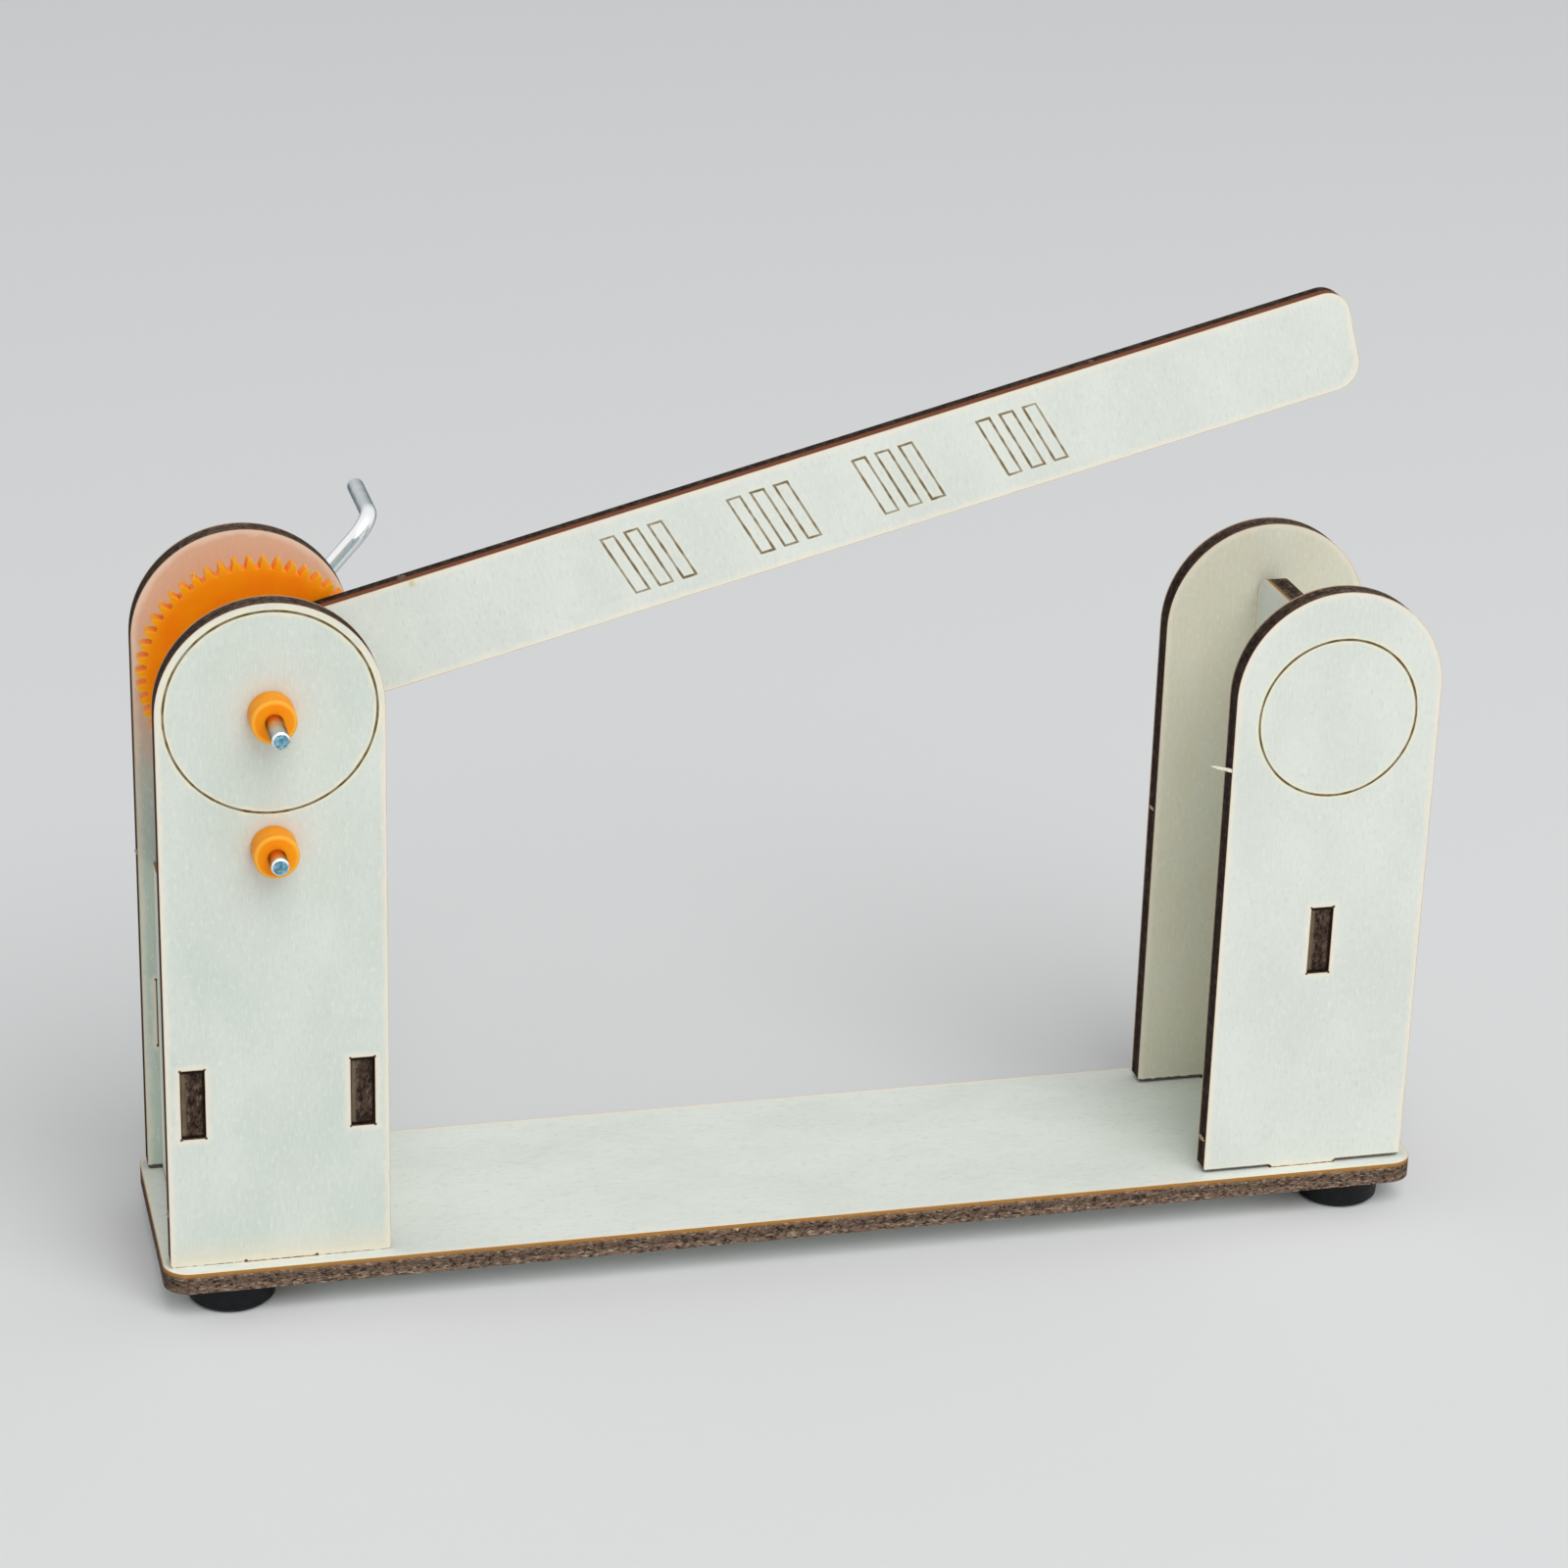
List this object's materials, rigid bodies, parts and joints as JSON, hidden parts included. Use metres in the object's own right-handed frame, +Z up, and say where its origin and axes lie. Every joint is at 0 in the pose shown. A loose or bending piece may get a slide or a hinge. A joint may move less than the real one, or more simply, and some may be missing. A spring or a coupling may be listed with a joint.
{
  "type": "hand-cranked toy boom barrier",
  "caption": "Toy boom barrier of laser-cut plywood: a bent-rod crank turns a pinion and a large gear that raise a flat arm from its rest post.",
  "frame": {"origin": "middle of the base plate's underside", "axes": "+X along the base from the gear tower to the rest post, +Y from the front to the crank side at the rear, +Z up"},
  "size_m": [0.149, 0.0696, 0.1102],
  "materials": {
    "plywood": "matte, sanded",
    "gear_plastic": "satin",
    "bush_plastic": "satin",
    "steel": "bright",
    "rubber": "matte"
  },
  "bodies": {
    "frame": {"base_plate": "plywood", "tower_front_panel": "plywood", "tower_rear_panel": "plywood", "tower_tie_left": "plywood", "tower_tie_right": "plywood", "post_front_panel": "plywood", "post_rear_panel": "plywood", "post_rest_plate": "plywood", "rubber_foot_left_front": "rubber", "rubber_foot_left_rear": "rubber", "rubber_foot_right_front": "rubber", "rubber_foot_right_rear": "rubber"},
    "boom": {"boom_arm": "plywood", "boom_gear": "gear_plastic", "boom_shaft": "steel", "boom_bush_front": "bush_plastic", "boom_bush_rear": "bush_plastic"},
    "crank": {"crank_rod": "steel", "crank_pinion": "gear_plastic", "crank_bush_front": "bush_plastic", "crank_bush_rear": "bush_plastic"}
  },
  "joints": [
    {"name": "boom_swing", "type": "hinge", "parent": "frame", "child": "boom", "pos_m": [-0.0613, 0, 0.0683], "axis": [0, -1, 0], "range_deg": [-12, 74.85]},
    {"name": "crank_turn", "type": "hinge", "parent": "frame", "child": "crank", "pos_m": [-0.0613, 0, 0.0528], "axis": [0, -1, 0], "range_deg": [-312, 50.1]}
  ],
  "couplings": [
    {"joint": "crank_turn", "follows": "boom_swing", "ratio": -4.1667}
  ]
}
